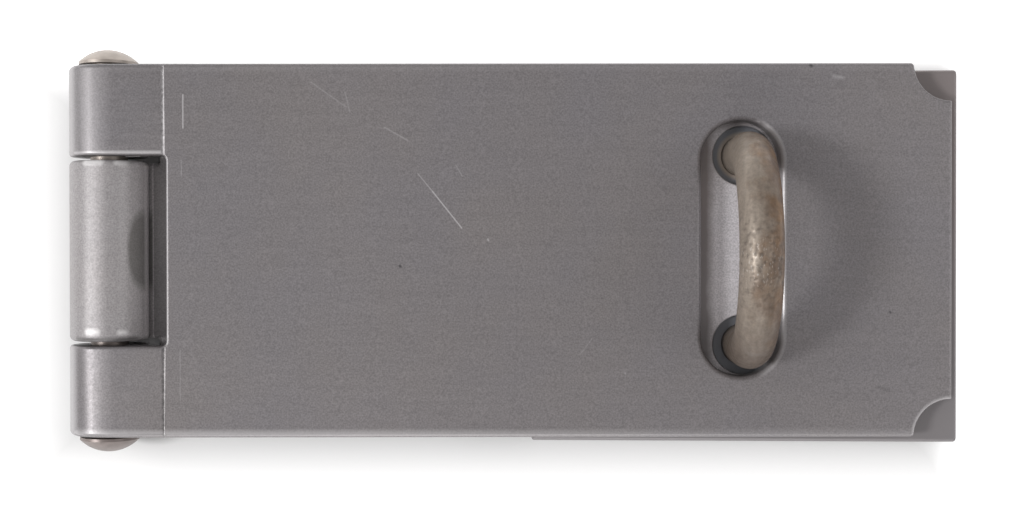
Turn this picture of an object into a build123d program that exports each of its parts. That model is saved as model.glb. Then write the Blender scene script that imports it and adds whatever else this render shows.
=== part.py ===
from build123d import *
from math import asin, atan2, cos, degrees, hypot, radians, sin, tan
import os

# Fixed staple hasp, closed. Millimetres, +Z up off the mounting surface, +X from the hinge to the staple.
# The origin is the centre of the hinge leaf's screw holes, on the mounting surface.

# Strip stock
strip_width = 63.5
sheet = 3.4
mill_edge = 0.8
die_roll = 0.5

# Hinge, with distances along X counted from the pin's axis
pin_d = 6.35
pin_play = 0.07
curl_seam = 0.9
lead_r = 28.0
lead_turn = 7.5
notch_edge = 11.4
notch_corner = 1.0
middle_knuckle = 31.0
knuckle_gap = 0.75
knuckle_roll = 0.9
head_d = 10.1
head_rise = 2.7
head_rim = 0.5
head_gap = 0.45
tool_mark = 11.0
tool_mark_width = 0.5
tool_mark_depth = 0.14

# Strap
strap_reach = 144.7
slot_x = 108.95
slot_offset = 0.3
slot_side_play = 3.26
slot_end_play = 1.9
slot_roll = 0.9
scallop_r = 6.4
seat_gap = 0.25

# Hinge leaf
leaf_reach = 60.0
leaf_shoulder = 7.6
leaf_corner = 0.4
leaf_holes_x = 35.2
leaf_hole_dx = 26.0
leaf_hole_dy = 40.0

# Screw holes
screw_hole_d = 5.2
screw_head_d = 10.2
screw_head_angle = 90

# Staple plate, laid a little to one side of the strap's middle line
plate_length = 73.3
plate_width = 64.2
plate_x = 110.0
plate_shift = -1.1
plate_hole_dx = 48.0
plate_hole_dy = 38.0

# Staple, its legs punched a little off the plate's middle line
rod_d = 7.0
leg_spacing = 32.7
leg_offset = 1.1
crown_rise = 24.0
leg_play = 0.05
leg_ring_width = 1.6
leg_ring_depth = 1.5
leg_ring_roll = 0.3
rivet_d = 10.4
rivet_depth = 1.3

# Derived sizes
bore_r = pin_d / 2 + pin_play
knuckle_r = bore_r + sheet
lead_run = (lead_r - knuckle_r) * sin(radians(lead_turn))
lead_rise = (lead_r - knuckle_r) * (1 - cos(radians(lead_turn)))
flat_top = knuckle_r + lead_rise
rod_r = rod_d / 2
pin_x = -leaf_holes_x
pin_z = flat_top
staple_x = pin_x + plate_x
staple_y = plate_shift + leg_offset
slot_width = rod_d + 2 * slot_side_play
slot_length = leg_spacing + rod_d + 2 * slot_end_play
outer_inner_end = middle_knuckle / 2 + knuckle_gap
curl_turn = 270 + degrees(asin((bore_r - curl_seam) / knuckle_r))
tip_drop = pin_z - sheet - seat_gap
underside = flat_top - sheet
strap_tilt = degrees(atan2(underside, strap_reach) + asin(tip_drop / hypot(strap_reach, underside)))


def on_skin(edge):
    """True for an edge on the curled strip's outer face, with the pin's axis on Y through the origin."""
    point = edge @ 0.5
    on_flat = abs(point.Z - flat_top) < 0.01
    on_lead = abs(hypot(point.X - lead_run, point.Z - flat_top + lead_r) - lead_r) < 0.01
    on_curl = abs(hypot(point.X, point.Z) - knuckle_r) < 0.01
    return on_flat or on_lead or on_curl


def strip_section():
    """The strip's cross section with its rounded mill edges, standing on the YZ plane above the bore."""
    section = RectangleRounded(strip_width, sheet, mill_edge)
    return Plane.YZ * Pos(0, bore_r + sheet / 2) * section


def curled_strip(reach):
    """A strip that runs along +X over the pin's axis, bends gently down and curls round the axis."""
    start = Pos(lead_run, 0, lead_rise) * strip_section()
    flat = extrude(start, amount=reach - lead_run, dir=(1, 0, 0))
    lead = revolve(start, Axis((lead_run, 0, flat_top - lead_r), (0, -1, 0)), lead_turn)
    curl_start = Rot(0, -lead_turn, 0) * strip_section()
    curl = revolve(curl_start, Axis((0, 0, 0), (0, -1, 0)), curl_turn - lead_turn)
    return flat + lead + curl


def punch(strip, outline, roll):
    """Punches an outline through the strip and rounds the punched edge on the outer face."""
    tool = extrude(outline, amount=2 * knuckle_r, both=True)
    cut = strip - tool
    rim = [edge for edge in new_edges(strip, tool, combined=cut) if on_skin(edge)]
    return fillet(rim, roll)


def notch_outline(edge, corner, low, high):
    """A notch open toward the curl, up to an edge and from one Y to another, with rounded inner corners."""
    far = 4 * knuckle_r
    outline = Pos((edge - far) / 2, (low + high) / 2) * Rectangle(edge + far, high - low)
    inner = outline.vertices().group_by(Axis.X)[-1]
    return fillet(inner, corner)


def screw_cutter(x, y, top):
    """The cutter for one countersunk screw hole whose head seat opens at the given height."""
    shank = Cylinder(screw_hole_d / 2, 4 * sheet)
    seat_depth = (screw_head_d - screw_hole_d) / 2 / tan(radians(screw_head_angle / 2))
    seat = Cone(screw_hole_d / 2, screw_head_d / 2, seat_depth, align=(Align.CENTER, Align.CENTER, Align.MAX))
    return Pos(x, y, top) * (shank + seat)


def four_screws(x, y, dx, dy, top):
    """Four countersunk holes at the corners of a rectangle."""
    corners = [(x + i * dx / 2, y + j * dy / 2) for i in (-1, 1) for j in (-1, 1)]
    return [screw_cutter(px, py, top) for px, py in corners]


def tool_mark_cutter():
    """The shallow line that the curling tool leaves across the strap beside the knuckles."""
    half = tool_mark_width / 2
    left = (tool_mark - half, flat_top)
    right = (tool_mark + half, flat_top)
    above = (tool_mark, flat_top + tool_mark_depth)
    below = (tool_mark, flat_top - tool_mark_depth)
    diamond = make_face(Polyline(left, above, right, below, close=True))
    return extrude(Plane.XZ * diamond, amount=strip_width, both=True)


def make_strap():
    """The swinging leaf: two outer knuckles, the staple's slot and a scallop at each free corner."""
    strip = curled_strip(strap_reach)
    strip = punch(strip, notch_outline(notch_edge, notch_corner, -outer_inner_end, outer_inner_end), die_roll)
    slot = Pos(slot_x, slot_offset) * SlotOverall(slot_length, slot_width, rotation=90)
    strip = punch(strip, slot, slot_roll)
    for side in (-1, 1):
        corner = Pos(strap_reach, side * strip_width / 2) * Circle(scallop_r)
        strip -= extrude(corner, amount=2 * knuckle_r)
    tip = [edge for edge in strip.edges() if on_skin(edge) and (edge @ 0.5).X > strap_reach - scallop_r]
    strip = fillet(tip, die_roll)
    return strip - tool_mark_cutter()


def make_hinge_leaf():
    """The fixed leaf under the strap: the middle knuckle and four screw holes."""
    half = middle_knuckle / 2
    outside = strip_width
    strip = curled_strip(leaf_reach)
    strip = punch(strip, notch_outline(leaf_shoulder, leaf_corner, half, outside), knuckle_roll)
    strip = punch(strip, notch_outline(leaf_shoulder, leaf_corner, -outside, -half), knuckle_roll)
    leaf = Pos(pin_x, 0, pin_z) * Rot(180, 0, 0) * strip
    leaf -= four_screws(pin_x + leaf_holes_x, 0, leaf_hole_dx, leaf_hole_dy, sheet)
    return leaf


def make_hinge_pin():
    """The pin with a low domed head at each end."""
    shank_length = strip_width + 2 * head_gap
    shank = Cylinder(pin_d / 2, shank_length)
    dome_rise = head_rise - head_rim
    dome_r = ((head_d / 2) ** 2 + dome_rise**2) / (2 * dome_rise)
    blank = Cylinder(head_d / 2, head_rise, align=(Align.CENTER, Align.CENTER, Align.MIN))
    head = Pos(0, 0, shank_length / 2) * (blank & Pos(0, 0, head_rise - dome_r) * Sphere(dome_r))
    pin = shank + head + mirror(head, Plane.XY)
    return Pos(pin_x, 0, pin_z) * Rot(90, 0, 0) * pin


def leg_places():
    """The two places where the staple's legs stand, on the mounting surface."""
    return [(staple_x, staple_y + side * leg_spacing / 2) for side in (-1, 1)]


def make_staple_plate():
    """The fixed plate under the strap: a hole and a sunk ring for each leg, and four screw holes."""
    section = Plane.YZ * Pos(plate_shift, sheet / 2) * RectangleRounded(plate_width, sheet, mill_edge)
    plate = Pos(staple_x - plate_length / 2, 0, 0) * extrude(section, amount=plate_length, dir=(1, 0, 0))
    top_edges = plate.edges().filter_by(Axis.Y).group_by(Axis.Z)[-1]
    plate = fillet(top_edges, die_roll)
    ring_r = rod_r + leg_ring_width
    for x, y in leg_places():
        plate -= Pos(x, y) * Cylinder(rod_r + leg_play, 4 * sheet)
        plate -= Pos(x, y, sheet) * Cylinder(ring_r, 2 * leg_ring_depth)
        plate -= Pos(x, y) * rivet_flare(leg_play)
    circles = plate.edges().filter_by(GeomType.CIRCLE)
    rims = circles.filter_by(lambda e: abs(e.radius - ring_r) < 0.001).group_by(Axis.Z)[-1]
    plate = fillet(rims, leg_ring_roll)
    plate -= four_screws(staple_x, plate_shift, plate_hole_dx, plate_hole_dy, sheet)
    return plate


def rivet_flare(play):
    """The spread end of a leg, or its seat in the back of the plate when given some play."""
    low = (Align.CENTER, Align.CENTER, Align.MIN)
    return Cone(rivet_d / 2 + play, rod_r + play, rivet_depth, align=low)


def make_staple():
    """The round rod bent to a U, its legs riveted over at the back of the plate."""
    (x, low_y), (_, high_y) = leg_places()
    bend_z = sheet + crown_rise - leg_spacing / 2
    low_leg = Line((x, low_y, 0), (x, low_y, bend_z))
    crown = ThreePointArc((x, low_y, bend_z), (x, staple_y, sheet + crown_rise), (x, high_y, bend_z))
    high_leg = Line((x, high_y, bend_z), (x, high_y, 0))
    rod = sweep(Pos(x, low_y, 0) * Circle(rod_r), path=low_leg + crown + high_leg)
    for px, py in leg_places():
        rod += Pos(px, py) * rivet_flare(0)
    return rod


pieces = {
    "strap": Pos(pin_x, 0, pin_z) * Rot(0, strap_tilt, 0) * make_strap(),
    "hinge_leaf": make_hinge_leaf(),
    "hinge_pin": make_hinge_pin(),
    "staple_plate": make_staple_plate(),
    "staple": make_staple(),
}
os.makedirs("parts", exist_ok=True)
for name, piece in pieces.items():
    export_step(piece, f"parts/{name}.step")
    print(name, round(piece.volume), "mm3")
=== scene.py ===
# %% [markdown]
# # A fixed staple hasp, closed on its staple
# The real object is a gate hasp of mill-finished steel: a flat strap that swings on a pinned hinge and
# drops over a round staple, so that a padlock through the staple keeps it shut. The solids come from the
# CAD model and already have the true sizes, so this lesson is about the finish: dull sheet steel, a pin
# with bright heads, a rough forged staple, a few scratches, and the soft light of a product photograph.
# One millimetre is 0.001 in Blender's metres.

# %% Load the solids
from math import pi, radians
import bpy
from mathutils import Euler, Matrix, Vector


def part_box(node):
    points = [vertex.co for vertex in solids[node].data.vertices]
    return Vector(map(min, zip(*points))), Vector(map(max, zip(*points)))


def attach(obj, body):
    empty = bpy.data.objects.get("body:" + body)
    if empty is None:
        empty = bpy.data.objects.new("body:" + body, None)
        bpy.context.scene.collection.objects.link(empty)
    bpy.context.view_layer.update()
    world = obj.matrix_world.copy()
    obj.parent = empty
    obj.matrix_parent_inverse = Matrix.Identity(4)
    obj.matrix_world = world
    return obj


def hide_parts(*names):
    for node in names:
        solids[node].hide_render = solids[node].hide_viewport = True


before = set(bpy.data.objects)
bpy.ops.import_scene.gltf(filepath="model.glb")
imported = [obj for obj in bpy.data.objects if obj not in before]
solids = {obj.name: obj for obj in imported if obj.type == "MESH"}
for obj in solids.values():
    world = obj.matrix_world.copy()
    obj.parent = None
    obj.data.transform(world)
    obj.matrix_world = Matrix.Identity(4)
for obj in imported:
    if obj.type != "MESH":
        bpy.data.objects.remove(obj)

mm = 0.001
scene = bpy.context.scene
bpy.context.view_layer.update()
print("solids:", sorted(solids))

# %% [markdown]
# ## The camera
# The photograph looks almost straight down. Photo-right is +X and photo-up is +Y, so a camera left
# unturned already points the right way, and only small leans are needed. The strap's straight edges, the
# slot and the staple gave the distance: at about a quarter of a metre the staple's top is plainly nearer
# to the lens than its feet, which is why it hides the right side of the slot. A longer lens from farther
# off would lose that.

# %% Place the camera
photo_width_px = 1012
focal_px = 1384
sensor_width = 36.0
camera_distance = 245 * mm
look_at = Vector((33.63 * mm, -1.45 * mm, 0.0))
camera_lean = Euler((radians(-0.51), radians(2.47), radians(-0.07)))

camera_data = bpy.data.cameras.new("photo_camera")
camera_data.sensor_width = sensor_width
camera_data.lens = sensor_width * focal_px / photo_width_px
camera_data.clip_start = 0.01
camera = bpy.data.objects.new("photo_camera", camera_data)
camera.rotation_euler = camera_lean
camera.location = look_at + camera_lean.to_matrix() @ Vector((0.0, 0.0, camera_distance))
scene.collection.objects.link(camera)
scene.camera = camera
scene.view_settings.view_transform = "Standard"
print("camera at", [round(c, 4) for c in camera.location], "lens", round(camera_data.lens, 2))

# %% [markdown]
# ## Helpers for node trees
# Materials and geometry are both built from nodes. Each node is made the same way: choose its kind, set
# its own options, then fill its sockets, either with a value or with another node's output. One small
# function that does all three keeps every later cell short. The others stand on it: sums and products, a
# mask that runs from 0 at one value to 1 at another, the strongest of several masks, and a point's place
# on its object.

# %% Node helpers
def add_node(tree, kind, sockets=None, **options):
    node = tree.nodes.new(kind)
    for option, value in options.items():
        setattr(node, option, value)
    for key, value in (sockets or {}).items():
        if isinstance(value, bpy.types.NodeSocket):
            tree.links.new(value, node.inputs[key])
        else:
            node.inputs[key].default_value = value
    return node


def calculate(tree, operation, first, second=0.0, third=0.0, clamp=False):
    sockets = {0: first, 1: second, 2: third}
    return add_node(tree, "ShaderNodeMath", sockets, operation=operation, use_clamp=clamp).outputs[0]


def times(tree, first, second):
    return calculate(tree, "MULTIPLY", first, second)


def ramp(tree, value, zero_at, one_at):
    node = add_node(tree, "ShaderNodeMapRange", {"Value": value, "From Min": zero_at, "From Max": one_at})
    return node.outputs["Result"]


def strongest(tree, masks):
    total = masks[0]
    for mask in masks[1:]:
        total = calculate(tree, "MAXIMUM", total, mask)
    return total


def object_place(tree):
    return add_node(tree, "ShaderNodeTexCoord").outputs["Object"]


def split_xyz(tree, vector):
    return add_node(tree, "ShaderNodeSeparateXYZ", {0: vector}).outputs


def vector_of(tree, operation, first, second):
    return add_node(tree, "ShaderNodeVectorMath", {0: first, 1: second}, operation=operation).outputs[0]


def scaled(tree, vector, amount):
    return add_node(tree, "ShaderNodeVectorMath", {0: vector, "Scale": amount}, operation="SCALE").outputs[0]


def distance_from(tree, place, point):
    node = add_node(tree, "ShaderNodeVectorMath", {0: place, 1: point}, operation="DISTANCE")
    return node.outputs["Value"]


print("node helpers ready")

# %% [markdown]
# ## Studio light
# The staple throws a soft crescent of shadow on the strap to its right, and every knuckle has one
# highlight left of its top. Both say that the main light is a small soft box on the left, a little toward
# the front and some 47 degrees up. A wide, weaker box on the same side, lower and toward the back, widens
# the highlights. A weak one on the right keeps the far side of the middle knuckle from going black, and
# one in front lights the strap's lower edge. The rest is even light from all round, which is what the
# world gives. All together they light a level white card to about white, so each colour below comes out
# much as it is written.

# %% Lamps
aim = Vector((45 * mm, 0.0, 5 * mm))
lamp_distance = 1.0


def soft_box(name, turn, height, width, radiance):
    """turn: degrees round from +X, height: degrees above the table, width: metres."""
    lamp_data = bpy.data.lights.new(name, "AREA")
    lamp_data.shape = "SQUARE"
    lamp_data.size = width
    lamp_data.energy = radiance * pi * width * width
    lamp = bpy.data.objects.new(name, lamp_data)
    toward_lamp = Euler((0.0, radians(-height), radians(turn))).to_matrix()
    outward = toward_lamp @ Vector((lamp_distance, 0.0, 0.0))
    lamp.location = aim + outward
    lamp.rotation_euler = outward.to_track_quat("Z", "Y").to_euler()
    scene.collection.objects.link(lamp)
    print(name, "watts", round(lamp_data.energy, 2))


soft_box("left_soft_box", turn=189, height=47, width=0.17, radiance=49.0)
soft_box("low_left_soft_box", turn=163, height=33, width=0.50, radiance=2.2)
soft_box("front_soft_box", turn=270, height=25, width=0.50, radiance=2.5)
soft_box("right_soft_box", turn=0, height=40, width=0.50, radiance=1.4)

# %% Room light
room_light = 0.43
room_tint = (1.0, 0.985, 0.98, 1.0)
world = bpy.data.worlds.new("studio_room")
world.use_nodes = True
scene.world = world
room = world.node_tree.nodes["Background"]
room.inputs["Color"].default_value = room_tint
room.inputs["Strength"].default_value = room_light
print("room light", room_light)

# %% [markdown]
# ## The white table
# The background is pure white, but the hasp still leaves a faint shadow below and to its left. A plain
# white floor under soft light comes out light grey, so its material adds a glow that only the camera,
# reflections and clear materials see. It lifts the floor to white without throwing more light on the
# steel. Close to the hasp there is no glow, so the shadow stays. It comes in over a distance of its own on
# each of the four sides: slowly on the left and in front, where the shadow is soft and wide, and quickly
# behind and on the right.

# %% Floor
floor_drop = 0.3 * mm
floor_half = 3.0
corners = [(-1, -1), (1, -1), (1, 1), (-1, 1)]
floor_points = [(x * floor_half, y * floor_half, -floor_drop) for x, y in corners]

floor_mesh = bpy.data.meshes.new("white_table")
floor_mesh.from_pydata(floor_points, [], [(0, 1, 2, 3)])
floor = bpy.data.objects.new("white_table", floor_mesh)
scene.collection.objects.link(floor)
print("floor half width", floor_half)

# %% Floor paint
floor_white = (0.82, 0.82, 0.82, 1.0)
floor_glow = 0.90
left_fade = (-44.0 * mm, -66.0 * mm)
right_fade = (102.0 * mm, 113.0 * mm)
front_fade = (-33.5 * mm, -55.5 * mm)
back_fade = (20.0 * mm, 34.5 * mm)
late_rise = 3.0

table_white = bpy.data.materials.new("table_white")
table_white.use_nodes = True
tree = table_white.node_tree
paint = tree.nodes["Principled BSDF"]
paint.inputs["Base Color"].default_value = floor_white
paint.inputs["Roughness"].default_value = 0.9
paint.inputs["Specular IOR Level"].default_value = 0.0
paint.inputs["Emission Color"].default_value = (1.0, 1.0, 1.0, 1.0)

rays = add_node(tree, "ShaderNodeLightPath").outputs
seen = strongest(tree, [rays["Is Camera Ray"], rays["Is Glossy Ray"], rays["Is Transmission Ray"]])
spot = split_xyz(tree, object_place(tree))
past_left = ramp(tree, spot["X"], *left_fade)
past_right = calculate(tree, "POWER", ramp(tree, spot["X"], *right_fade), late_rise)
past_front = ramp(tree, spot["Y"], *front_fade)
past_back = calculate(tree, "POWER", ramp(tree, spot["Y"], *back_fade), late_rise)
unshaded = strongest(tree, [past_left, past_right, past_front, past_back])
glow = times(tree, times(tree, seen, unshaded), floor_glow)
tree.links.new(glow, paint.inputs["Emission Strength"])
floor_mesh.materials.append(table_white)
print("floor glow", floor_glow)

# %% [markdown]
# ## Smooth curls, flat flats
# The solids arrive as small flat facets, and each CAD face brings its own shading, so a hard stripe would
# show where a curl runs into a flat. A small node tree forgets that shading, joins the doubled corners
# along the seams, shades all of it smooth and leaves sharp only the edges that turn by more than 35
# degrees. A Weighted Normal modifier after it lets the large faces keep their own direction, so the flats
# stay flat while the curls blend. The shape itself stays.

# %% Smoothing by Geometry Nodes
def make_smoothing_tree():
    tree = bpy.data.node_groups.new("smooth_facets", "GeometryNodeTree")
    tree.interface.new_socket("Geometry", in_out="INPUT", socket_type="NodeSocketGeometry")
    tree.interface.new_socket("Sharp Angle", in_out="INPUT", socket_type="NodeSocketFloat")
    tree.interface.new_socket("Seam Width", in_out="INPUT", socket_type="NodeSocketFloat")
    tree.interface.new_socket("Geometry", in_out="OUTPUT", socket_type="NodeSocketGeometry")
    given = add_node(tree, "NodeGroupInput").outputs
    facets = {"Geometry": given["Geometry"], "Name": "custom_normal"}
    plain = add_node(tree, "GeometryNodeRemoveAttribute", facets)
    doubled = {"Geometry": plain.outputs[0], "Distance": given["Seam Width"]}
    joined = add_node(tree, "GeometryNodeMergeByDistance", doubled)
    all_faces = {"Geometry": joined.outputs[0], "Shade Smooth": True}
    smooth = add_node(tree, "GeometryNodeSetShadeSmooth", all_faces)
    turn = add_node(tree, "GeometryNodeInputMeshEdgeAngle").outputs["Unsigned Angle"]
    blunt = calculate(tree, "LESS_THAN", turn, given["Sharp Angle"])
    blunt_edges = {"Geometry": smooth.outputs[0], "Shade Smooth": blunt}
    edged = add_node(tree, "GeometryNodeSetShadeSmooth", blunt_edges, domain="EDGE")
    add_node(tree, "NodeGroupOutput", {"Geometry": edged.outputs[0]})
    return tree


smoothing_tree = make_smoothing_tree()
smoothing_sizes = {"Sharp Angle": radians(35), "Seam Width": 0.001 * mm}
for name in ("strap", "hinge_leaf", "hinge_pin", "staple_plate"):
    blend = solids[name].modifiers.new("smooth_facets", "NODES")
    blend.node_group = smoothing_tree
    for item in smoothing_tree.interface.items_tree:
        if item.name in smoothing_sizes:
            blend[item.identifier] = smoothing_sizes[item.name]
    weigh = solids[name].modifiers.new("weigh_normals", "WEIGHTED_NORMAL")
    weigh.keep_sharp = True
    print("smoothed", name)

# %% [markdown]
# ## Helpers for finishes
# Every finish below starts from Blender's Principled shader, varies its colour with noise, and mixes in
# other colours by masks. Four helpers do that: a new material, a noise stretched between two values, a mix
# of two colours, and a colour made lighter or darker. A fifth adds up shades: each mask says where, and
# its amount says how much lighter or darker than 1 the steel is there.

# %% Finish helpers
def new_finish(name):
    material = bpy.data.materials.new(name)
    material.use_nodes = True
    tree = material.node_tree
    return material, tree, tree.nodes["Principled BSDF"]


usual_low = 0.3
usual_high = 0.7


def noise_between(tree, place, scale, detail, low, high):
    """Noise seldom leaves its usual values, so these are stretched to run from low to high."""
    noise = add_node(tree, "ShaderNodeTexNoise", {"Vector": place, "Scale": scale, "Detail": detail})
    stretch = {"Value": noise.outputs["Fac"], "From Min": usual_low, "From Max": usual_high}
    stretch.update({"To Min": low, "To Max": high})
    return add_node(tree, "ShaderNodeMapRange", stretch).outputs["Result"]


def mix_colour(tree, amount, first, second):
    """A Mix node has sockets for several kinds of data; its colours are inputs 6 and 7 and output 2."""
    node = add_node(tree, "ShaderNodeMix", data_type="RGBA")
    for socket, value in ((node.inputs[0], amount), (node.inputs[6], first), (node.inputs[7], second)):
        if isinstance(value, bpy.types.NodeSocket):
            tree.links.new(value, socket)
        else:
            socket.default_value = value
    return node.outputs[2]


def shade_colour(tree, colour, amount):
    """The colour made lighter or darker by an amount that is 1 for no change."""
    return scaled(tree, colour, amount)


def add_shades(tree, shades):
    """One amount for shade_colour from pairs of a mask and what it adds to 1."""
    total = 1.0
    for mask, amount in shades:
        total = calculate(tree, "MULTIPLY_ADD", mask, amount, total)
    return total


print("finish helpers ready")

# %% [markdown]
# ## Dull sheet steel
# Strap, hinge leaf and staple plate are cut from one kind of hot-rolled strip. It isn't a mirror: a thin
# skin of oxide makes it a mid-grey with a breath of purple, part metal and part matt, and grain as fine as
# sand breaks up the reflection. Three noises on Object coordinates colour it: a fine grain, faint streaks
# along the rolling direction, and clouds as large as a thumb print that drift from cool to warm. Object
# coordinates move with each solid, so nothing slides when the strap swings.

# %% Sheet steel material
grain_scale = 3600.0
grain_range = (0.80, 1.20)
streak_scale = 1100.0
streak_stretch = (0.04, 1.0, 1.0)
streak_range = (0.97, 1.03)
cloud_scale = 60.0
gloss_grain_scale = 1440.0


def sheet_steel(name, cool, warm, metallic, rough_low, rough_high):
    material, tree, steel = new_finish(name)
    place = object_place(tree)
    stretched = vector_of(tree, "MULTIPLY", place, streak_stretch)
    colour = mix_colour(tree, noise_between(tree, place, cloud_scale, 3.0, 0.0, 1.0), cool, warm)
    colour = shade_colour(tree, colour, noise_between(tree, place, grain_scale, 2.0, *grain_range))
    colour = shade_colour(tree, colour, noise_between(tree, stretched, streak_scale, 2.0, *streak_range))
    rough = noise_between(tree, place, gloss_grain_scale, 2.0, rough_low, rough_high)
    tree.links.new(rough, steel.inputs["Roughness"])
    steel.inputs["Metallic"].default_value = metallic
    return material, tree, steel, colour


strap_cool = (0.215, 0.202, 0.211, 1.0)
strap_warm = (0.223, 0.206, 0.207, 1.0)
strap_finish, strap_tree, strap_steel, strap_colour = sheet_steel(
    "strap_sheet_steel", strap_cool, strap_warm, metallic=0.38, rough_low=0.37, rough_high=0.43
)
leaf_cool = (0.340, 0.324, 0.331, 1.0)
leaf_warm = (0.344, 0.321, 0.322, 1.0)
leaf_finish, leaf_tree, leaf_steel, leaf_colour = sheet_steel(
    "leaf_sheet_steel", leaf_cool, leaf_warm, metallic=0.12, rough_low=0.40, rough_high=0.48
)
# The plate's own colours are painted light: pale enough to outweigh the shade inside the slot, the only
# place where they show.
plate_painted_light_cool = (0.665, 0.640, 0.668, 1.0)
plate_painted_light_warm = (0.670, 0.635, 0.655, 1.0)
plate_finish, plate_tree, plate_steel, plate_colour = sheet_steel(
    "plate_sheet_steel", plate_painted_light_cool, plate_painted_light_warm, metallic=0.30, rough_low=0.34, rough_high=0.42
)
print("sheet steel for strap, leaf and plate")

# %% [markdown]
# ## A group that draws one scratch
# A scratch is a straight line, so a node group measures how far a point is from the line between two ends
# and turns that into a mask. It works in plan, in Object coordinates, so a line drawn on the strap's upper
# face would also show on its lower one; a second mask keeps it on top. Painted pictures could do the same,
# but a group needs no image and stays sharp at any distance.

# %% Scratch group
def make_scratch_group():
    group = bpy.data.node_groups.new("scratch_line", "ShaderNodeTree")
    for label in ("Place", "Start", "End"):
        group.interface.new_socket(label, in_out="INPUT", socket_type="NodeSocketVector")
    group.interface.new_socket("Half Width", in_out="INPUT", socket_type="NodeSocketFloat")
    group.interface.new_socket("Mask", in_out="OUTPUT", socket_type="NodeSocketFloat")
    given = add_node(group, "NodeGroupInput").outputs

    def dot(first, second):
        node = add_node(group, "ShaderNodeVectorMath", {0: first, 1: second}, operation="DOT_PRODUCT")
        return node.outputs["Value"]

    flat = vector_of(group, "MULTIPLY", given["Place"], (1.0, 1.0, 0.0))
    along = vector_of(group, "SUBTRACT", given["End"], given["Start"])
    here = vector_of(group, "SUBTRACT", flat, given["Start"])
    share = calculate(group, "DIVIDE", dot(here, along), dot(along, along), clamp=True)
    away = distance_from(group, here, scaled(group, along, share))
    fade = calculate(group, "DIVIDE", away, given["Half Width"])
    mask = calculate(group, "SUBTRACT", 1.0, fade, clamp=True)
    add_node(group, "NodeGroupOutput", {"Mask": mask})
    return group


scratch_group = make_scratch_group()


def line_mask(tree, place, start, end, half_width, strength):
    """start, end and half_width in millimetres; strength from 0 to 1."""
    line = add_node(tree, "ShaderNodeGroup", node_tree=scratch_group)
    tree.links.new(place, line.inputs["Place"])
    line.inputs["Start"].default_value = (start[0] * mm, start[1] * mm, 0.0)
    line.inputs["End"].default_value = (end[0] * mm, end[1] * mm, 0.0)
    line.inputs["Half Width"].default_value = half_width * mm
    return times(tree, line.outputs["Mask"], strength)


print("scratch group with", len(scratch_group.nodes), "nodes")

# %% [markdown]
# ## Scratches and specks on the strap
# Handling left short upright scratches beside the hinge, a broken diagonal across the middle, and a few
# pale specks and dark pits. A noise would scatter such marks anywhere, but each of these has its own place,
# so each is one line with a name, drawn by the scratch group. They belong on the upper face alone. The
# surface's own normal tells which face that is, because its Z is near 1 on top.

# %% Strap scratches
strap_where = add_node(strap_tree, "ShaderNodeTexCoord").outputs
strap_place = strap_where["Object"]
strap_spot = split_xyz(strap_tree, strap_place)
facing_up = split_xyz(strap_tree, strap_where["Normal"])["Z"]
upper_face = calculate(strap_tree, "GREATER_THAN", facing_up, 0.7)


def on_strap(start, end, half_width, strength):
    return line_mask(strap_tree, strap_place, start, end, half_width, strength)


beside_hinge_upper = on_strap((-20.5, 26.4), (-20.5, 20.8), 0.16, 0.60)
beside_hinge_lower = on_strap((-21.1, -16.8), (-21.1, -25.3), 0.14, 0.15)
beside_notch = on_strap((-20.8, 15.4), (-20.8, 12.8), 0.14, 0.18)
near_top_long = on_strap((1.2, 28.5), (7.1, 24.3), 0.20, 0.14)
near_top_short = on_strap((6.9, 26.8), (7.7, 23.5), 0.20, 0.14)
above_diagonal = on_strap((13.5, 20.9), (17.4, 18.7), 0.20, 0.20)
diagonal_start = on_strap((19.2, 13.0), (21.6, 10.1), 0.14, 0.32)
diagonal_end = on_strap((21.6, 10.1), (26.6, 3.8), 0.16, 0.60)
beside_diagonal = on_strap((25.6, 14.5), (26.7, 12.6), 0.14, 0.20)
before_slot = on_strap((46.6, -17.7), (48.6, -15.0), 0.16, 0.14)
upper_scratches = [beside_hinge_upper, beside_notch, near_top_long, near_top_short, above_diagonal]
lower_scratches = [beside_hinge_lower, diagonal_start, diagonal_end, beside_diagonal, before_slot]
scratches = upper_scratches + lower_scratches
print("scratches", len(scratches))

# %% Strap specks
speck_by_diagonal = on_strap((31.0, 1.9), (31.1, 1.7), 0.24, 0.45)
speck_before_slot = on_strap((54.2, -20.8), (54.3, -20.9), 0.24, 0.30)
smear_at_top_edge = on_strap((89.6, 29.4), (91.0, 29.2), 0.55, 0.20)
pale_specks = [speck_by_diagonal, speck_before_slot, smear_at_top_edge]

pit_in_middle = on_strap((16.1, -2.6), (16.2, -2.7), 0.34, 0.85)
pit_near_tip = on_strap((99.1, -10.5), (99.2, -10.6), 0.30, 0.75)
pit_before_slot = on_strap((50.3, -8.1), (50.4, -8.1), 0.26, 0.45)
scuff_near_tip = on_strap((97.2, -23.4), (99.0, -23.7), 0.45, 0.22)
pit_on_top_edge = on_strap((85.7, 31.3), (85.8, 31.2), 0.40, 0.80)
dark_specks = [pit_in_middle, pit_near_tip, pit_before_slot, scuff_near_tip, pit_on_top_edge]
print("pale specks", len(pale_specks), "dark specks", len(dark_specks))
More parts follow.
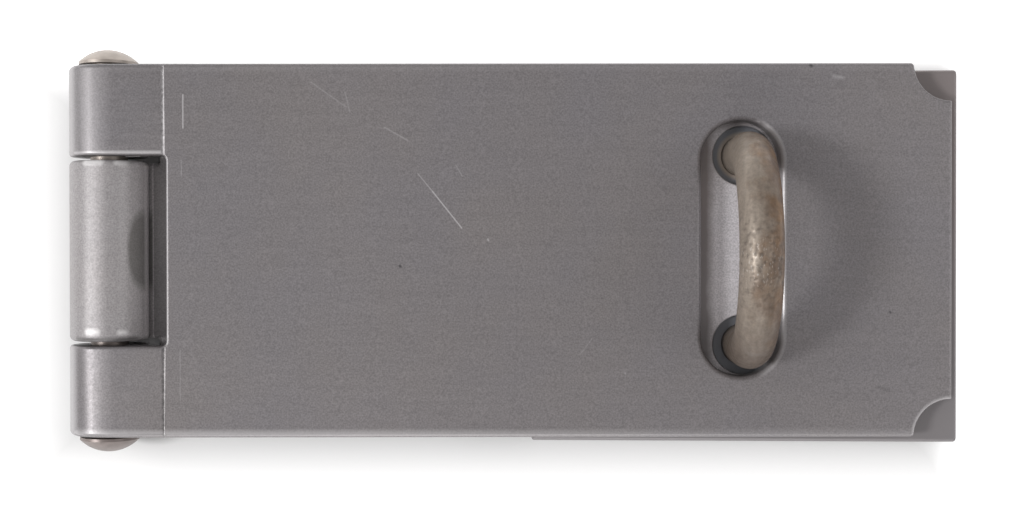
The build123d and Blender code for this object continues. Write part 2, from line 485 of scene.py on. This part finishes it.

# %% [markdown]
# ## Painted highlights on the strap's tool line, rims and edges
# The tool that curled the knuckles left a line across the strap. Its upper half carries a painted highlight,
# broken into beads by a fine noise, and its lower half a painted shade between the beads that dulls the
# light its groove catches. The rims of the notch, the slot, the upper knuckle and the lower scallop carry
# painted highlights, and so does the long lower edge, more toward the hinge than toward the tip, with a
# faint one on the upper edge. Straight rims are lines, the scallop is a distance from its corner, and the
# long edges are a band along Y.

# %% Tool line
tool_line_x = -23.9
line_inner_y = 16.5
line_outer_y = 31.5
# Painted highlight on the upper tool line, broken into beads; painted shade between the beads on the lower
# one.
beads = noise_between(strap_tree, strap_place, 1700.0, 1.0, 0.15, 1.0)
upper_tool_line = on_strap((tool_line_x, line_outer_y), (tool_line_x, line_inner_y), 0.34, 0.65)
lower_tool_line = on_strap((tool_line_x, -line_inner_y), (tool_line_x, -line_outer_y), 0.34, 0.05)
tool_line_highlight = times(strap_tree, strongest(strap_tree, [upper_tool_line, lower_tool_line]), beads)
between_beads = calculate(strap_tree, "SUBTRACT", 1.1, beads)
tool_line_painted_shade = on_strap((tool_line_x, -line_inner_y), (tool_line_x, -line_outer_y), 0.50, 0.60)
tool_line_painted_shade = times(strap_tree, tool_line_painted_shade, between_beads)
print("tool line at", tool_line_x)

# %% Rim highlights
# The rims of the notch, the slot, the upper knuckle and the lower scallop carry painted highlights.
notch_rim_x = -23.45
notch_rim = on_strap((notch_rim_x, 15.6), (notch_rim_x, -15.6), 0.42, 0.55)
slot_right_rim = on_strap((80.55, 13.0), (80.55, -3.5), 0.70, 1.00)
slot_top_rim = on_strap((72.4, 21.75), (77.0, 21.75), 0.30, 0.45)
upper_knuckle_rim = on_strap((-39.5, 16.7), (-24.4, 16.7), 0.45, 0.55)

scallop_bright = 6.3 * mm
scallop_plain = 7.1 * mm
strap_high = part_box("strap")[1]
scallop_middle = (strap_high[0], -strap_high[1], 0.0)
strap_plan = vector_of(strap_tree, "MULTIPLY", strap_place, (1.0, 1.0, 0.0))
from_scallop = distance_from(strap_tree, strap_plan, scallop_middle)
lower_scallop = times(strap_tree, ramp(strap_tree, from_scallop, scallop_plain, scallop_bright), 0.85)
strap_rim_highlights = [notch_rim, slot_right_rim, slot_top_rim, upper_knuckle_rim, lower_scallop]
print("rubbed rims", len(strap_rim_highlights))

# %% Edge highlights
# A painted highlight along the long edges: faint on the upper edge, stronger on the lower one and less
# toward the tip.
upper_edge_highlight = 0.07
lower_edge_extra_highlight = 0.33
less_at_tip = -0.26
from_middle = calculate(strap_tree, "ABSOLUTE", strap_spot["Y"])
edge_start = ramp(strap_tree, from_middle, 30.1 * mm, 31.0 * mm)
edge_end = ramp(strap_tree, from_middle, 31.75 * mm, 31.25 * mm)
edge_band = times(strap_tree, edge_start, edge_end)
toward_tip = ramp(strap_tree, strap_spot["X"], 10.0 * mm, 70.0 * mm)
lower_edge_highlight_amount = calculate(strap_tree, "MULTIPLY_ADD", toward_tip, less_at_tip, lower_edge_extra_highlight)
lower_edge = calculate(strap_tree, "LESS_THAN", strap_spot["Y"], 0.0)
edge_highlight_amount = calculate(strap_tree, "MULTIPLY_ADD", lower_edge, lower_edge_highlight_amount, upper_edge_highlight)
edge_highlight = times(strap_tree, edge_band, edge_highlight_amount)
print("edge wear from", upper_edge_highlight, "to", upper_edge_highlight + lower_edge_extra_highlight)

# %% [markdown]
# ## The strap put together
# Some painted light goes round the curls and down the slot's right side, so it isn't kept to the upper face:
# the outer curls carry a painted highlight where they stand proud, the upper one more, and the slot's right
# side is painted paler to outweigh the staple's shadow on it. The strap is also a shade darker toward the
# hinge and paler toward its tip and its lower side. Everything comes together in order: the sheet's own
# colour, these shades, bare metal for the scratches and the painted highlights, and black in the pits and as
# painted shade on the tool line.

# %% Curl highlights and slot side light
# Painted highlights on the outer curls, more on the upper one, and painted light on the slot's right side
# against the staple's shadow.
curl_highlight_amount = 0.36
upper_curl_highlight_amount = 0.10
slot_side_light_amount = 0.42
curl_highlight = times(strap_tree, ramp(strap_tree, strap_spot["X"], -38.8 * mm, -40.4 * mm), curl_highlight_amount)
on_upper = ramp(strap_tree, strap_spot["Y"], 5.0 * mm, 15.0 * mm)
upper_curl_highlight = times(strap_tree, ramp(strap_tree, strap_spot["X"], -32.5 * mm, -36.5 * mm), upper_curl_highlight_amount)
upper_curl_highlight = times(strap_tree, upper_curl_highlight, on_upper)
slot_edge = ramp(strap_tree, on_strap((73.95, 15.3), (73.95, -14.7), 8.2, 1.0), 0.055, 0.11)
slot_side_light = times(strap_tree, ramp(strap_tree, strap_spot["X"], 76.5 * mm, 78.5 * mm), slot_edge)
slot_side_light = times(strap_tree, slot_side_light, slot_side_light_amount)
print("wear of curls", curl_highlight_amount, "and slot side", slot_side_light_amount)

# %% Strap colour
# Bare metal serves the scratches and the painted highlights alike; black serves the pits and the painted
# shade on the tool line.
on_top = strongest(strap_tree, scratches + pale_specks + strap_rim_highlights + [tool_line_highlight, edge_highlight])
on_top = times(strap_tree, on_top, upper_face)
wear_and_highlights = strongest(strap_tree, [on_top, curl_highlight, upper_curl_highlight, slot_side_light])
pits_and_painted_shade = times(strap_tree, strongest(strap_tree, dark_specks + [tool_line_painted_shade]), upper_face)

near_hinge = ramp(strap_tree, strap_spot["X"], 8.0 * mm, -26.0 * mm)
near_tip = ramp(strap_tree, strap_spot["X"], 78.0 * mm, 106.0 * mm)
low_side = ramp(strap_tree, strap_spot["Y"], -14.0 * mm, -28.0 * mm)
strap_shade = add_shades(strap_tree, [(near_hinge, -0.13), (near_tip, 0.08), (low_side, 0.05)])
bare_metal_and_highlight = (0.72, 0.70, 0.71, 1.0)
pit_and_shade_black = (0.02, 0.02, 0.022, 1.0)
strap_colour = shade_colour(strap_tree, strap_colour, strap_shade)
strap_colour = mix_colour(strap_tree, wear_and_highlights, strap_colour, bare_metal_and_highlight)
strap_colour = mix_colour(strap_tree, pits_and_painted_shade, strap_colour, pit_and_shade_black)
strap_tree.links.new(strap_colour, strap_steel.inputs["Base Color"])
print("strap finish with", len(strap_tree.nodes), "nodes")

# %% [markdown]
# ## Stains and painted light on the staple plate
# Where the padlock hangs, inside the slot, the plate is painted much paler: a painted light that outweighs
# the shade of the strap and the staple there, with a soft painted shadow of the slot's wall along its left
# edge. Elsewhere it keeps its scale, brown at the back and greyer in front. A black ring lies round each leg
# of the staple, where it was set into the plate and the scale was never cleaned out; the upper leg's foot is
# painted paler inside its ring, partly tan and partly a painted light on the recess's shaded floor. The pale
# patch is a product of ramps along X and Y with a wavering edge, and the rings are distances from the legs,
# whose places are read from the staple's own box.

# %% Plate stains and painted light
staple_low, staple_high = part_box("staple")
rivet_radius = (staple_high[0] - staple_low[0]) / 2
leg_x = (staple_low[0] + staple_high[0]) / 2
leg_ys = (staple_low[1] + rivet_radius, staple_high[1] - rivet_radius)

plate_place = object_place(plate_tree)
plate_spot = split_xyz(plate_tree, plate_place)
waver = noise_between(plate_tree, plate_place, 220.0, 2.0, -0.25 * mm, 0.25 * mm)
across = calculate(plate_tree, "ADD", plate_spot["X"], waver)
from_middle = calculate(plate_tree, "ABSOLUTE", plate_spot["Y"])
# The soft left edge of the pale patch is a painted shadow of the slot's wall.
past_painted_shadow = ramp(plate_tree, across, 68.6 * mm, 70.2 * mm)
right_end = ramp(plate_tree, across, 88.0 * mm, 82.0 * mm)
within_legs = ramp(plate_tree, from_middle, 23.0 * mm, 19.0 * mm)
painted_light_patch = times(plate_tree, times(plate_tree, past_painted_shadow, right_end), within_legs)

brown_scale = (0.262, 0.230, 0.227, 1.0)
grey_scale = (0.256, 0.240, 0.246, 1.0)
toward_front = ramp(plate_tree, plate_spot["Y"], 10.0 * mm, -24.0 * mm)
scale_colour = mix_colour(plate_tree, toward_front, brown_scale, grey_scale)
plate_colour = mix_colour(plate_tree, painted_light_patch, scale_colour, plate_colour)
print("legs at", [round(y / mm, 2) for y in leg_ys])

# %% Rings round the legs
ring_edge = 5.3 * mm
ring_fade = 0.25 * mm
ring_black = (0.235, 0.242, 0.265, 1.0)
# The upper foot's pale tan is partly the rod's tan and partly a painted light on the shaded floor of the
# recess.
foot_plain = 4.4 * mm
foot_pale = 3.8 * mm
foot_tan_and_light = (0.50, 0.43, 0.37, 1.0)
plate_plan = vector_of(plate_tree, "MULTIPLY", plate_place, (1.0, 1.0, 0.0))
from_legs = [distance_from(plate_tree, plate_plan, (leg_x, leg_y, 0.0)) for leg_y in leg_ys]
rings = [ramp(plate_tree, away, ring_edge, ring_edge - ring_fade) for away in from_legs]
upper_foot = ramp(plate_tree, from_legs[1], foot_plain, foot_pale)
plate_colour = mix_colour(plate_tree, strongest(plate_tree, rings), plate_colour, ring_black)
plate_colour = mix_colour(plate_tree, upper_foot, plate_colour, foot_tan_and_light)
plate_tree.links.new(plate_colour, plate_steel.inputs["Base Color"])
print("rings of radius", ring_edge / mm)

# %% [markdown]
# ## The hinge leaf's middle knuckle
# Only the middle knuckle of the hinge leaf shows when the hasp is closed. Its crown carries a painted
# highlight and its left side a painted shade, and its right flank, which runs down into a narrow trench, is
# painted paler to outweigh the shade there. These are shades along X. Its rims carry painted highlights in
# spots and one band of painted shade, which are lines, and the flank has one dark oval, a painted dark
# reflection: a distance that is measured after X and Y are shrunk by the oval's two radii. Under the strap
# the leaf keeps the darker skin of the sheet.

# %% Leaf painted light
leaf_place = object_place(leaf_tree)
leaf_x = split_xyz(leaf_tree, leaf_place)["X"]
# Painted shade on the knuckle's left side, a painted highlight on its crown, painted light down the right
# flank; the trench takes most of it back.
left_side = ramp(leaf_tree, leaf_x, -37.0 * mm, -37.8 * mm)
crown_start = ramp(leaf_tree, leaf_x, -36.3 * mm, -35.5 * mm)
crown_end = ramp(leaf_tree, leaf_x, -33.6 * mm, -34.8 * mm)
crown = times(leaf_tree, crown_start, crown_end)
right_side = ramp(leaf_tree, leaf_x, -32.0 * mm, -28.6 * mm)
low_flank = ramp(leaf_tree, leaf_x, -28.72 * mm, -28.58 * mm)
in_trench = ramp(leaf_tree, leaf_x, -28.55 * mm, -28.35 * mm)
knuckle_painted_light = [(left_side, -0.09), (crown, 0.24), (right_side, 0.62)]
trench_painted_light = [(low_flank, 0.75), (in_trench, -1.27)]
leaf_colour = shade_colour(leaf_tree, leaf_colour, add_shades(leaf_tree, knuckle_painted_light + trench_painted_light))
print("leaf shades", len(knuckle_painted_light + trench_painted_light))

# %% Leaf rim highlights and dark reflection
def on_leaf(start, end, half_width, strength):
    return line_mask(leaf_tree, leaf_place, start, end, half_width, strength)


rim_highlight_pale = (0.85, 0.83, 0.83, 1.0)
rim_shade_dark = (0.10, 0.095, 0.092, 1.0)
covered_skin = (0.215, 0.205, 0.208, 1.0)
dark_reflection_olive = (0.10, 0.098, 0.085, 1.0)
# Painted highlights on the knuckle's rims, and one band of painted shade along the lower rim.
upper_rim_left = on_leaf((-37.2, 15.2), (-34.6, 15.2), 0.9, 1.0)
upper_rim_right = on_leaf((-32.0, 15.2), (-30.8, 15.2), 0.8, 1.0)
lower_rim_left = on_leaf((-36.9, -13.75), (-35.2, -13.75), 0.8, 0.9)
lower_rim_right = on_leaf((-31.6, -13.9), (-30.9, -13.9), 0.7, 0.7)
lower_rim_painted_shade = on_leaf((-39.0, -15.0), (-29.5, -15.0), 0.6, 0.75)
leaf_rim_highlights = strongest(leaf_tree, [upper_rim_left, upper_rim_right, lower_rim_left, lower_rim_right])
under_strap = ramp(leaf_tree, leaf_x, -24.0 * mm, -19.0 * mm)

# A dark olive oval on the flank: a painted dark reflection.
reflection_middle = (-28.6 * mm, 0.1 * mm, 0.0)
reflection_shrink = (1 / (1.9 * mm), 1 / (6.6 * mm), 0.0)
reflection_strength = 0.62
oval = vector_of(leaf_tree, "SUBTRACT", leaf_place, reflection_middle)
oval = vector_of(leaf_tree, "MULTIPLY", oval, reflection_shrink)
from_reflection = distance_from(leaf_tree, oval, (0.0, 0.0, 0.0))
painted_dark_reflection = times(leaf_tree, ramp(leaf_tree, from_reflection, 1.15, 0.85), reflection_strength)
painted_dark_reflection = times(leaf_tree, painted_dark_reflection, ramp(leaf_tree, leaf_x, -28.5 * mm, -28.75 * mm))

leaf_colour = mix_colour(leaf_tree, leaf_rim_highlights, leaf_colour, rim_highlight_pale)
leaf_colour = mix_colour(leaf_tree, lower_rim_painted_shade, leaf_colour, rim_shade_dark)
leaf_colour = mix_colour(leaf_tree, under_strap, leaf_colour, covered_skin)
leaf_colour = mix_colour(leaf_tree, painted_dark_reflection, leaf_colour, dark_reflection_olive)
leaf_tree.links.new(leaf_colour, leaf_steel.inputs["Base Color"])
print("leaf finish with", len(leaf_tree.nodes), "nodes")

# %% [markdown]
# ## The hinge pin
# The pin is turned from a cleaner bar than the strip, and its domed heads were struck over last, so they are
# paler and warmer than the leaves. Only the heads show, above and below the outer knuckles, and the lower
# one is darker and browner, so one ramp along the pin runs from the lower head's colour to the upper head's.

# %% Pin finish
lower_head = (0.225, 0.190, 0.178, 1.0)
upper_head = (0.430, 0.378, 0.338, 1.0)
pin_finish, tree, steel = new_finish("pin_bright_steel")
place = object_place(tree)
patch = noise_between(tree, place, 500.0, 3.0, 0.82, 1.12)
toward_upper = ramp(tree, split_xyz(tree, place)["Y"], -20 * mm, 20 * mm)
colour = mix_colour(tree, toward_upper, lower_head, upper_head)
tree.links.new(shade_colour(tree, colour, patch), steel.inputs["Base Color"])
steel.inputs["Metallic"].default_value = 0.5
steel.inputs["Roughness"].default_value = 0.42
print("pin finish made")

# %% [markdown]
# ## Dress the solids
# Four of the five solids keep their own meshes, so they only need their finish. A solid may bring a material
# of its own from the CAD model, so its list is emptied first.

# %% Put the finishes on
finish_of = {
    "strap": strap_finish,
    "hinge_leaf": leaf_finish,
    "staple_plate": plate_finish,
    "hinge_pin": pin_finish,
}
for name, finish in finish_of.items():
    solids[name].data.materials.clear()
    solids[name].data.materials.append(finish)
    print("dressed", name)

# %% [markdown]
# ## The staple
# The staple is a round rod bent to a U, with both ends spread behind the plate like rivets. Its shape
# follows a rule: a section swept along a path of leg, half circle, leg. That suits Geometry Nodes. A
# straight line of points is laid out along the U by its length: inside the bend the angle grows with the
# length, and what is left over at either end runs straight down the leg. The same length spreads the ends.

# %% Inputs of the staple tree
staple_tree = bpy.data.node_groups.new("bent_rod", "GeometryNodeTree")
staple_inputs = {
    "Rod Radius": "Float",
    "Bend Radius": "Float",
    "Leg Length": "Float",
    "Spread Radius": "Float",
    "Spread Depth": "Float",
    "Bend Centre": "Vector",
    "Pit Depth": "Float",
    "Pit Scale": "Float",
    "Pit Spot": "Vector",
    "Pit Reach": "Float",
    "Seed": "Float",
    "Finish": "Material",
}
for label, kind in staple_inputs.items():
    staple_tree.interface.new_socket(label, in_out="INPUT", socket_type="NodeSocket" + kind)
staple_tree.interface.new_socket("Geometry", in_out="OUTPUT", socket_type="NodeSocketGeometry")
given = add_node(staple_tree, "NodeGroupInput").outputs


def on_rod(operation, first, second=0.0, clamp=False):
    return calculate(staple_tree, operation, first, second, clamp=clamp)


print("staple inputs", len(staple_inputs))

# %% Path along the U
path_points = 480
arc = on_rod("MULTIPLY", given["Bend Radius"], pi)
whole = on_rod("ADD", on_rod("MULTIPLY", given["Leg Length"], 2.0), arc)
line = add_node(staple_tree, "GeometryNodeCurvePrimitiveLine").outputs[0]
even_steps = {"Curve": line, "Count": path_points}
points = add_node(staple_tree, "GeometryNodeResampleCurve", even_steps).outputs[0]
share = add_node(staple_tree, "GeometryNodeSplineParameter").outputs["Factor"]
length = on_rod("MULTIPLY", share, whole)

past_leg = on_rod("SUBTRACT", length, given["Leg Length"])
in_bend = on_rod("MINIMUM", on_rod("MAXIMUM", past_leg, 0.0), arc)
angle = on_rod("DIVIDE", in_bend, given["Bend Radius"])
down = on_rod("ABSOLUTE", on_rod("SUBTRACT", past_leg, in_bend))
side = on_rod("MULTIPLY", on_rod("COSINE", angle), given["Bend Radius"])
rise = on_rod("SUBTRACT", on_rod("MULTIPLY", on_rod("SINE", angle), given["Bend Radius"]), down)
spot = add_node(staple_tree, "ShaderNodeCombineXYZ", {"Y": side, "Z": rise}).outputs[0]
spot = vector_of(staple_tree, "ADD", spot, given["Bend Centre"])
bent = add_node(staple_tree, "GeometryNodeSetPosition", {"Geometry": points, "Position": spot}).outputs[0]
print("path of", path_points, "points")

# %% Rod and its spread ends
ring_points = 96
from_end = on_rod("MINIMUM", length, on_rod("SUBTRACT", whole, length))
spread = on_rod("SUBTRACT", 1.0, on_rod("DIVIDE", from_end, given["Spread Depth"]), clamp=True)
more = on_rod("SUBTRACT", given["Spread Radius"], given["Rod Radius"])
radius = on_rod("ADD", given["Rod Radius"], on_rod("MULTIPLY", spread, more))
rod = add_node(staple_tree, "GeometryNodeSetCurveRadius", {"Curve": bent, "Radius": radius}).outputs[0]
unit_ring = {"Resolution": ring_points, "Radius": 1.0}
ring = add_node(staple_tree, "GeometryNodeCurvePrimitiveCircle", unit_ring).outputs[0]
sweep = {"Curve": rod, "Profile Curve": ring, "Scale": radius, "Fill Caps": True}
skin = add_node(staple_tree, "GeometryNodeCurveToMesh", sweep).outputs[0]
print("ring of", ring_points, "points")

# %% [markdown]
# ## The staple's rough skin
# Bending left the skin rough near the crown. Bump in the material would fake it, but real dents catch the
# light better and stay in the mesh. So small shallow pits are pushed inward along the normals, which keeps
# the rod inside its true diameter, and they die out with the distance from the crown. How deep each point
# went is stored under the name "pit", and the finish darkens the pits by it. The tree ends by making
# everything real and setting the finish, because the export drops instances.

# %% Pits and the end of the staple tree
pit_level = 0.51
pit_contrast = 6.0
pits_at_crown = 0.95
pits_elsewhere = 0.05
pit_noise = {"Scale": given["Pit Scale"], "W": given["Seed"], "Detail": 3.0}
noise = add_node(staple_tree, "ShaderNodeTexNoise", pit_noise, noise_dimensions="4D").outputs["Fac"]
low = on_rod("MULTIPLY", on_rod("SUBTRACT", noise, pit_level), pit_contrast, clamp=True)
here = add_node(staple_tree, "GeometryNodeInputPosition").outputs[0]
away = distance_from(staple_tree, here, given["Pit Spot"])
near = on_rod("SUBTRACT", 1.0, on_rod("DIVIDE", away, given["Pit Reach"]), clamp=True)
low = on_rod("MULTIPLY", low, on_rod("ADD", on_rod("MULTIPLY", near, pits_at_crown), pits_elsewhere))
mark = {"Geometry": skin, "Name": "pit", "Value": low}
marked = add_node(staple_tree, "GeometryNodeStoreNamedAttribute", mark, data_type="FLOAT", domain="POINT")

inward = on_rod("MULTIPLY", on_rod("MULTIPLY", low, given["Pit Depth"]), -1.0)
normal = add_node(staple_tree, "GeometryNodeInputNormal").outputs[0]
dent = {"Geometry": marked.outputs[0], "Offset": scaled(staple_tree, normal, inward)}
pitted = add_node(staple_tree, "GeometryNodeSetPosition", dent).outputs[0]
smooth = add_node(staple_tree, "GeometryNodeSetShadeSmooth", {"Geometry": pitted}).outputs[0]
real = add_node(staple_tree, "GeometryNodeRealizeInstances", {"Geometry": smooth}).outputs[0]
coat = {"Geometry": real, "Material": given["Finish"]}
dressed = add_node(staple_tree, "GeometryNodeSetMaterial", coat).outputs[0]
add_node(staple_tree, "NodeGroupOutput", {"Geometry": dressed})
print("staple tree with", len(staple_tree.nodes), "nodes")

# %% [markdown]
# ## The staple's finish
# Forging and weather left the rod tan, duller than the strip, with dark pits and with rust in patches on the
# side away from the hinge. That side is also painted a darker brown, a painted shade of the side turned from
# the main light, and the lower leg's end is painted darker still as painted shade. Pale grains on its crown
# are partly rubbed metal and partly painted glints. The side is known from the X coordinate, the lower leg
# from Y, the pits from the stored name, and noises pick the rust and the grains. One noise is stretched
# along the rod, as drawing marks are.

# %% Staple finish
tan = (0.276, 0.231, 0.190, 1.0)
brown_and_shade = (0.152, 0.105, 0.077, 1.0)
low_end_shade_brown = (0.100, 0.075, 0.059, 1.0)
rust = (0.228, 0.137, 0.074, 1.0)
grain_and_glint_pale = (0.70, 0.66, 0.62, 1.0)
pit_brown = (0.055, 0.042, 0.034, 1.0)
rust_strength = 0.9
low_end_shade_strength = 0.85
pit_strength = 0.80
grain_and_glint_strength = 0.35

staple_finish, tree, steel = new_finish("staple_forged_steel")
place = object_place(tree)
rod_spot = split_xyz(tree, place)
blotch = noise_between(tree, place, 260.0, 3.0, -2.2 * mm, 2.2 * mm)
blotched_x = calculate(tree, "ADD", rod_spot["X"], blotch)
far_side = ramp(tree, blotched_x, leg_x - 1.6 * mm, leg_x + 2.4 * mm)
rust_patch = noise_between(tree, place, 330.0, 3.0, -0.3, 1.0)
rust_patch = calculate(tree, "MULTIPLY", rust_patch, far_side, clamp=True)
low_end_shade = ramp(tree, rod_spot["Y"], -8.0 * mm, -17.0 * mm)
# The far side's brown is partly rust and partly painted shade; the lower end's darker brown is painted
# shade.
colour = mix_colour(tree, far_side, tan, brown_and_shade)
colour = mix_colour(tree, times(tree, rust_patch, rust_strength), colour, rust)
colour = mix_colour(tree, times(tree, low_end_shade, low_end_shade_strength), colour, low_end_shade_brown)
along_rod = vector_of(tree, "MULTIPLY", place, (1.0, 0.14, 0.5))
colour = shade_colour(tree, colour, noise_between(tree, along_rod, 1500.0, 3.0, 0.88, 1.12))
colour = shade_colour(tree, colour, noise_between(tree, place, 2600.0, 2.0, 0.90, 1.10))
print("staple tan and rust made")

# %% Staple pits and grains
crown_spot = (leg_x - 0.8 * mm, -2.0 * mm, staple_high[2])
pit = add_node(tree, "ShaderNodeAttribute", attribute_name="pit").outputs["Fac"]
colour = mix_colour(tree, times(tree, pit, pit_strength), colour, pit_brown)
# Pale grains near the crown: partly rubbed metal, partly painted glints.
on_crown = ramp(tree, distance_from(tree, place, crown_spot), 5.5 * mm, 1.0 * mm)
short_grain = vector_of(tree, "MULTIPLY", place, (1.0, 0.45, 0.6))
grains_and_glints = ramp(tree, noise_between(tree, short_grain, 3400.0, 1.0, 0.0, 1.0), 0.80, 1.00)
grains_and_glints = times(tree, grains_and_glints, on_crown)
colour = mix_colour(tree, times(tree, grains_and_glints, grain_and_glint_strength), colour, grain_and_glint_pale)
tree.links.new(colour, steel.inputs["Base Color"])
steel.inputs["Metallic"].default_value = 0.35
tree.links.new(noise_between(tree, place, 900.0, 3.0, 0.36, 0.60), steel.inputs["Roughness"])
print("staple finish with", len(tree.nodes), "nodes")

# %% [markdown]
# ## Make the staple
# A modifier runs the tree on an empty mesh. Its inputs are set by each socket's identifier before Blender
# first works it out, then the result is taken as a plain mesh and the maker is thrown away. The rod's
# diameter and the depth of the spread are the CAD model's, and the other sizes come from the solid's own
# box, so the dressed staple stands exactly where the solid stands, and replaces it.

# %% Staple mesh
rod_radius = 7.0 * mm / 2
bend_radius = (leg_ys[1] - leg_ys[0]) / 2
bend_height = staple_high[2] - rod_radius - bend_radius
staple_sizes = {
    "Rod Radius": rod_radius,
    "Bend Radius": bend_radius,
    "Leg Length": bend_height - staple_low[2],
    "Spread Radius": rivet_radius,
    "Spread Depth": 1.3 * mm,
    "Bend Centre": (leg_x, (leg_ys[0] + leg_ys[1]) / 2, bend_height),
    "Pit Depth": 0.14 * mm,
    "Pit Scale": 1300.0,
    "Pit Spot": crown_spot,
    "Pit Reach": 13.0 * mm,
    "Seed": 4.0,
    "Finish": staple_finish,
}


def bake_geometry(name, tree, values):
    holder = bpy.data.objects.new(name + "_maker", bpy.data.meshes.new(name + "_maker"))
    scene.collection.objects.link(holder)
    maker = holder.modifiers.new("maker", "NODES")
    maker.node_group = tree
    for item in tree.interface.items_tree:
        if item.in_out == "INPUT":
            maker[item.identifier] = values[item.name]
    ready = holder.evaluated_get(bpy.context.evaluated_depsgraph_get())
    mesh = bpy.data.meshes.new_from_object(ready)
    holder.modifiers.remove(maker)
    bpy.data.objects.remove(holder)
    mesh.name = name
    piece = bpy.data.objects.new(name, mesh)
    scene.collection.objects.link(piece)
    return piece


staple = bake_geometry("rough_staple", staple_tree, staple_sizes)
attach(staple, "base")
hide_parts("staple")
print("staple faces", len(staple.data.polygons))
